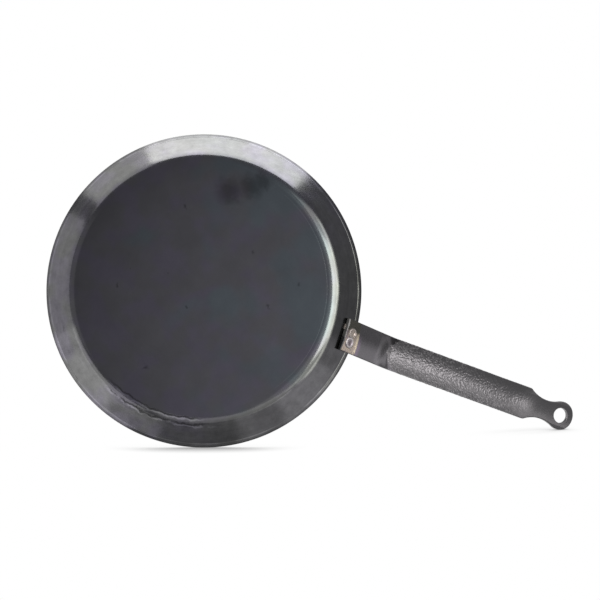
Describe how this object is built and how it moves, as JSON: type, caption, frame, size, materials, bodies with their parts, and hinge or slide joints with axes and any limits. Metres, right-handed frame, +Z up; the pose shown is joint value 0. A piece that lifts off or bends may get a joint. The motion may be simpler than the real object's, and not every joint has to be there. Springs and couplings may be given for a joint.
{
  "type": "crepe pan",
  "caption": "Shallow round blued-steel crepe pan with a flared low wall and a spot-welded strip handle ending in a hanging ring.",
  "frame": {"origin": "middle of the base's underside, where the pan rests", "axes": "+Z up through the open mouth, +X out along the handle, +Y across it"},
  "size_m": [0.4282, 0.24, 0.114],
  "materials": {
    "blued_steel": "blued, satin",
    "handle_steel": "dark oxide, satin, heat-tinted at the flange",
    "grip_epoxy": "pebbled black epoxy",
    "weld_steel": "bare weld metal"
  },
  "bodies": {
    "root": {"pan_body": "blued_steel", "handle_strip": "handle_steel", "grip_coating": "grip_epoxy", "spot_welds": "weld_steel", "tack_weld": "weld_steel"}
  },
  "joints": []
}
